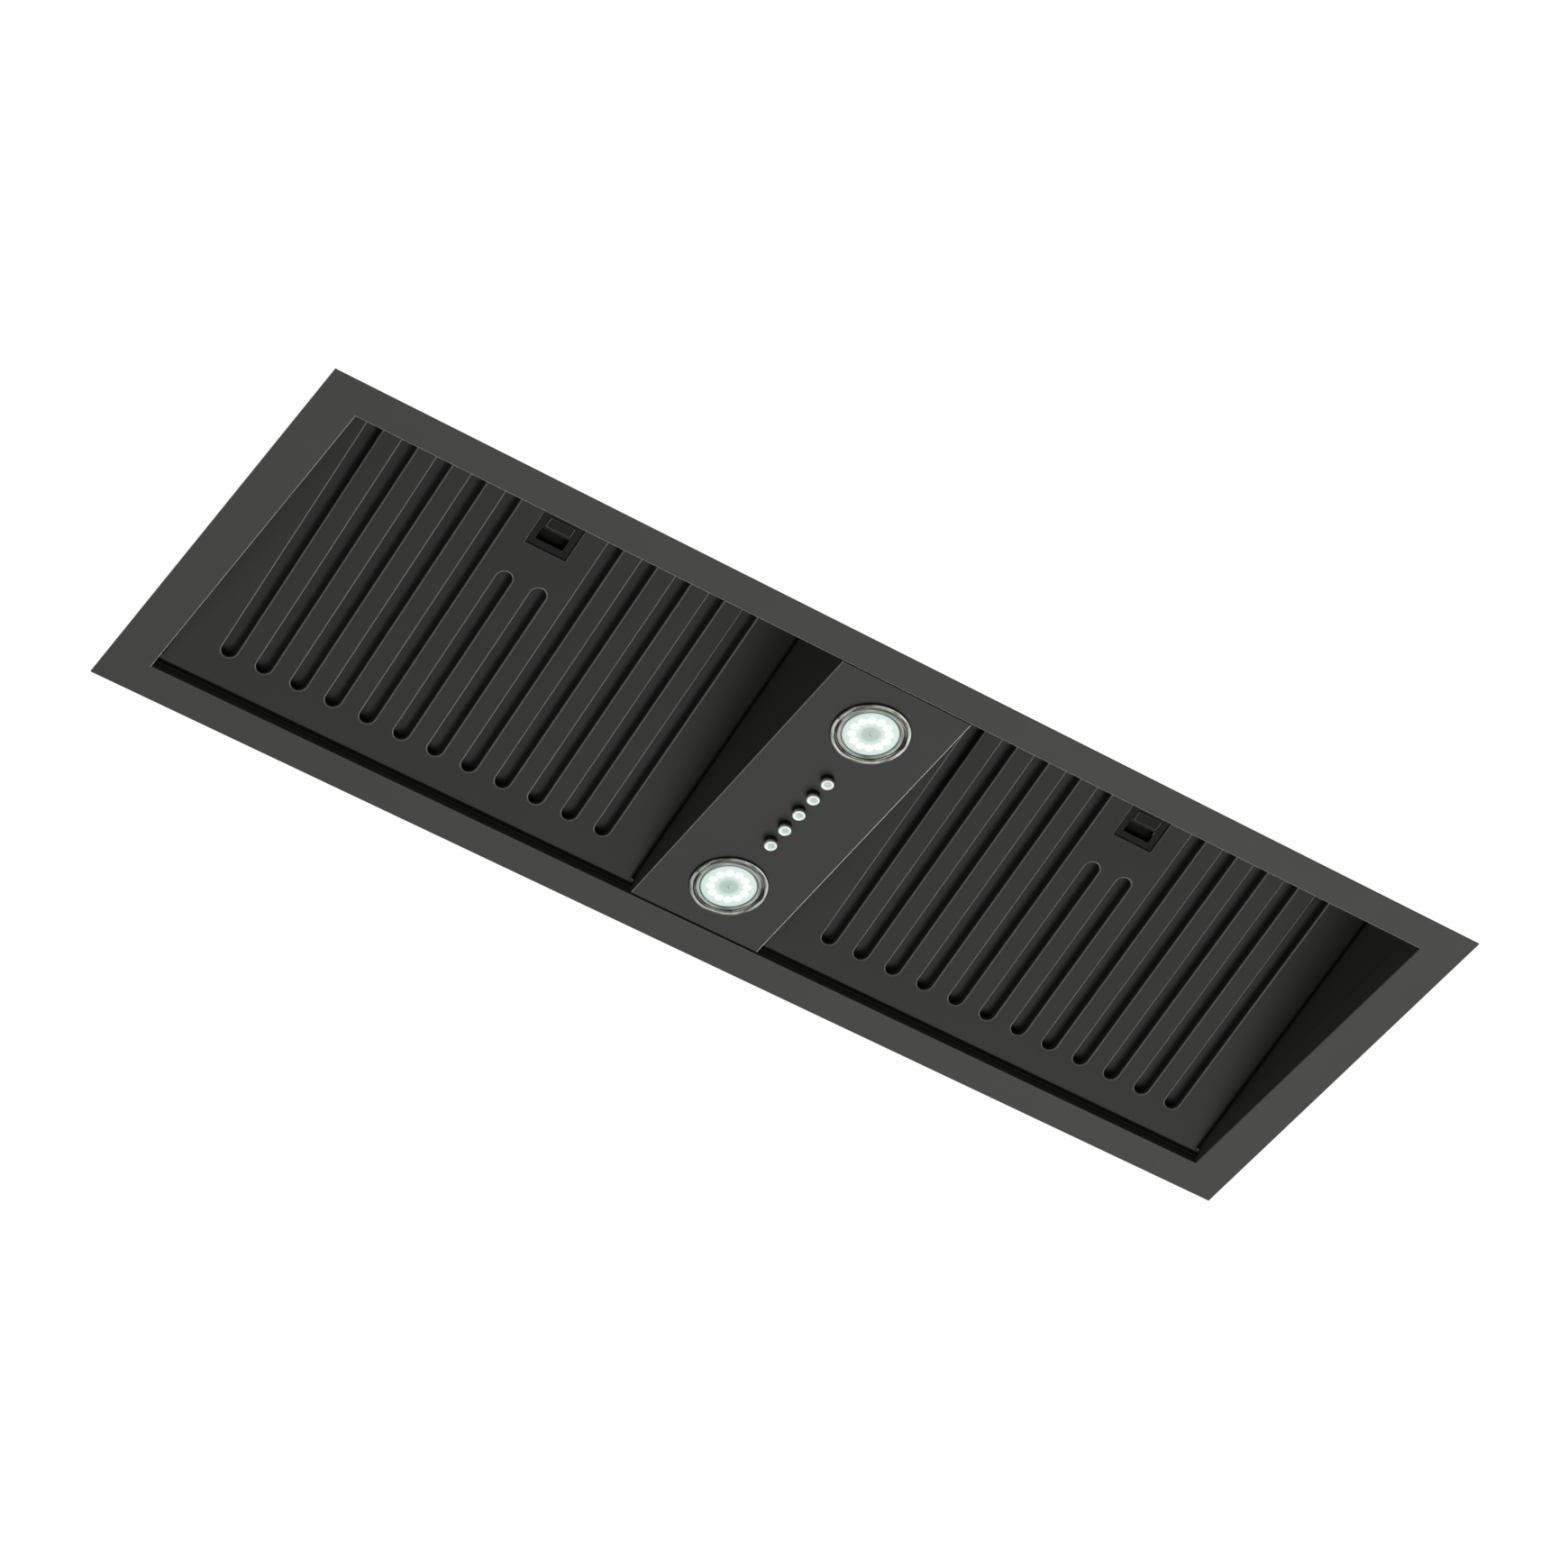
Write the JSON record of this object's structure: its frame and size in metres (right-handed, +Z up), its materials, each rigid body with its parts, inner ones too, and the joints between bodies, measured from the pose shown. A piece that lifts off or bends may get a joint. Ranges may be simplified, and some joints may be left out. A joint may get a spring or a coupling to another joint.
{
  "type": "undermount range hood",
  "caption": "Undermount range hood: wide flat flange, two sloped slotted baffle filters with latches, and a centre panel with round lamps and push buttons; blower and duct collar above.",
  "frame": {"origin": "centre of the cabinet cut-out, on the flange's upper face, which seats against the cabinet", "axes": "+X along the long side, left to right seen from the front; -Y is the front, where the filters open; +Z is up into the cabinet"},
  "size_m": [0.86, 0.292, 0.1629],
  "materials": {
    "flange_coat": "satin powder coat",
    "casing_coat": "matt dark coat",
    "panel_coat": "satin powder coat",
    "filter_coat": "satin powder coat",
    "baffle_coat": "matt dark coat",
    "rail_coat": "matt dark coat",
    "lamp_ring": "satin",
    "lamp_glass": "frosted",
    "led": "gloss",
    "board": "matt",
    "heatsink": "matt",
    "spring_steel": "bright",
    "button_metal": "polished rim, satin face",
    "black_plastic": "matt",
    "seal_rubber": "matt",
    "zinc_sheet": "zinc-plated",
    "wheel_metal": "satin",
    "motor_coat": "matt",
    "steel": "bright",
    "terminal_plastic": "matt"
  },
  "bodies": {
    "casing": {"cable_gland": "black_plastic", "casing_screws": "steel", "circuit_board": "board", "control_panel": "panel_coat", "damper_pin": "steel", "duct_collar": "black_plastic", "flange_frame": "flange_coat", "front_wall": "casing_coat", "lamp_clips": "spring_steel", "lamp_glasses": "lamp_glass", "lamp_heatsinks": "heatsink", "lamp_trims": "lamp_ring", "led_boards": "board", "led_chips": "led", "left_end_wall": "casing_coat", "left_front_seal": "seal_rubber", "left_hinge_rail": "rail_coat", "left_keeper_leaf": "spring_steel", "motor": "motor_coat", "motor_bracket": "zinc_sheet", "outlet_box": "zinc_sheet", "panel_cover": "casing_coat", "rear_wall": "casing_coat", "right_end_wall": "casing_coat", "right_front_seal": "seal_rubber", "right_hinge_rail": "rail_coat", "right_keeper_leaf": "spring_steel", "scroll_cover": "zinc_sheet", "scroll_wrap": "zinc_sheet", "switch_block": "black_plastic", "terminal_block": "terminal_plastic", "top_plate": "casing_coat", "wiring_box": "zinc_sheet", "wiring_box_lid": "zinc_sheet"},
    "left_filter": {"left_filter_face": "filter_coat", "left_rear_baffles": "baffle_coat", "left_filter_back": "baffle_coat", "left_latch_tray": "baffle_coat", "left_latch_spring": "spring_steel"},
    "left_latch": {"left_latch_slide": "filter_coat"},
    "right_filter": {"right_filter_face": "filter_coat", "right_rear_baffles": "baffle_coat", "right_filter_back": "baffle_coat", "right_latch_tray": "baffle_coat", "right_latch_spring": "spring_steel"},
    "right_latch": {"right_latch_slide": "filter_coat"},
    "button_1": {"button_1": "button_metal"},
    "button_2": {"button_2": "button_metal"},
    "button_3": {"button_3": "button_metal"},
    "button_4": {"button_4": "button_metal"},
    "button_5": {"button_5": "button_metal"},
    "front_flap": {"front_flap": "wheel_metal"},
    "rear_flap": {"rear_flap": "wheel_metal"},
    "wheel": {"impeller": "wheel_metal", "motor_shaft": "steel"}
  },
  "joints": [
    {"name": "button_1_press", "type": "slide", "parent": "casing", "child": "button_1", "axis": [0, 0, 1], "range_m": [0, 0.003], "stiffness_N_per_m": 300, "springref_m": -0.004},
    {"name": "button_2_press", "type": "slide", "parent": "casing", "child": "button_2", "axis": [0, 0, 1], "range_m": [0, 0.003], "stiffness_N_per_m": 300, "springref_m": -0.004},
    {"name": "button_3_press", "type": "slide", "parent": "casing", "child": "button_3", "axis": [0, 0, 1], "range_m": [0, 0.003], "stiffness_N_per_m": 300, "springref_m": -0.004},
    {"name": "button_4_press", "type": "slide", "parent": "casing", "child": "button_4", "axis": [0, 0, 1], "range_m": [0, 0.003], "stiffness_N_per_m": 300, "springref_m": -0.004},
    {"name": "button_5_press", "type": "slide", "parent": "casing", "child": "button_5", "axis": [0, 0, 1], "range_m": [0, 0.003], "stiffness_N_per_m": 300, "springref_m": -0.004},
    {"name": "left_filter_hinge", "type": "hinge", "parent": "casing", "child": "left_filter", "pos_m": [-0.22475, 0.1189, 0.0055], "axis": [1, 0, 0], "range_deg": [0, 60], "deforming": ["left_keeper_leaf"]},
    {"name": "left_latch_slide", "type": "slide", "parent": "left_filter", "child": "left_latch", "axis": [0, 0.9603, -0.279], "range_m": [0, 0.007], "stiffness_N_per_m": 300, "springref_m": -0.006, "deforming": ["left_latch_spring"]},
    {"name": "right_filter_hinge", "type": "hinge", "parent": "casing", "child": "right_filter", "pos_m": [0.22475, 0.1189, 0.0055], "axis": [1, 0, 0], "range_deg": [0, 60], "deforming": ["right_keeper_leaf"]},
    {"name": "right_latch_slide", "type": "slide", "parent": "right_filter", "child": "right_latch", "axis": [0, 0.9603, -0.279], "range_m": [0, 0.007], "stiffness_N_per_m": 300, "springref_m": -0.006, "deforming": ["right_latch_spring"]},
    {"name": "front_flap_hinge", "type": "hinge", "parent": "casing", "child": "front_flap", "pos_m": [0.088, 0.046, 0.13978], "axis": [-1, 0, 0], "range_deg": [0, 75]},
    {"name": "rear_flap_hinge", "type": "hinge", "parent": "casing", "child": "rear_flap", "pos_m": [0.088, 0.046, 0.13978], "axis": [1, 0, 0], "range_deg": [0, 75]},
    {"name": "wheel_spin", "type": "hinge", "parent": "casing", "child": "wheel", "pos_m": [-0.06, 0.035, 0.1], "axis": [0, 0, 1], "continuous": true}
  ]
}
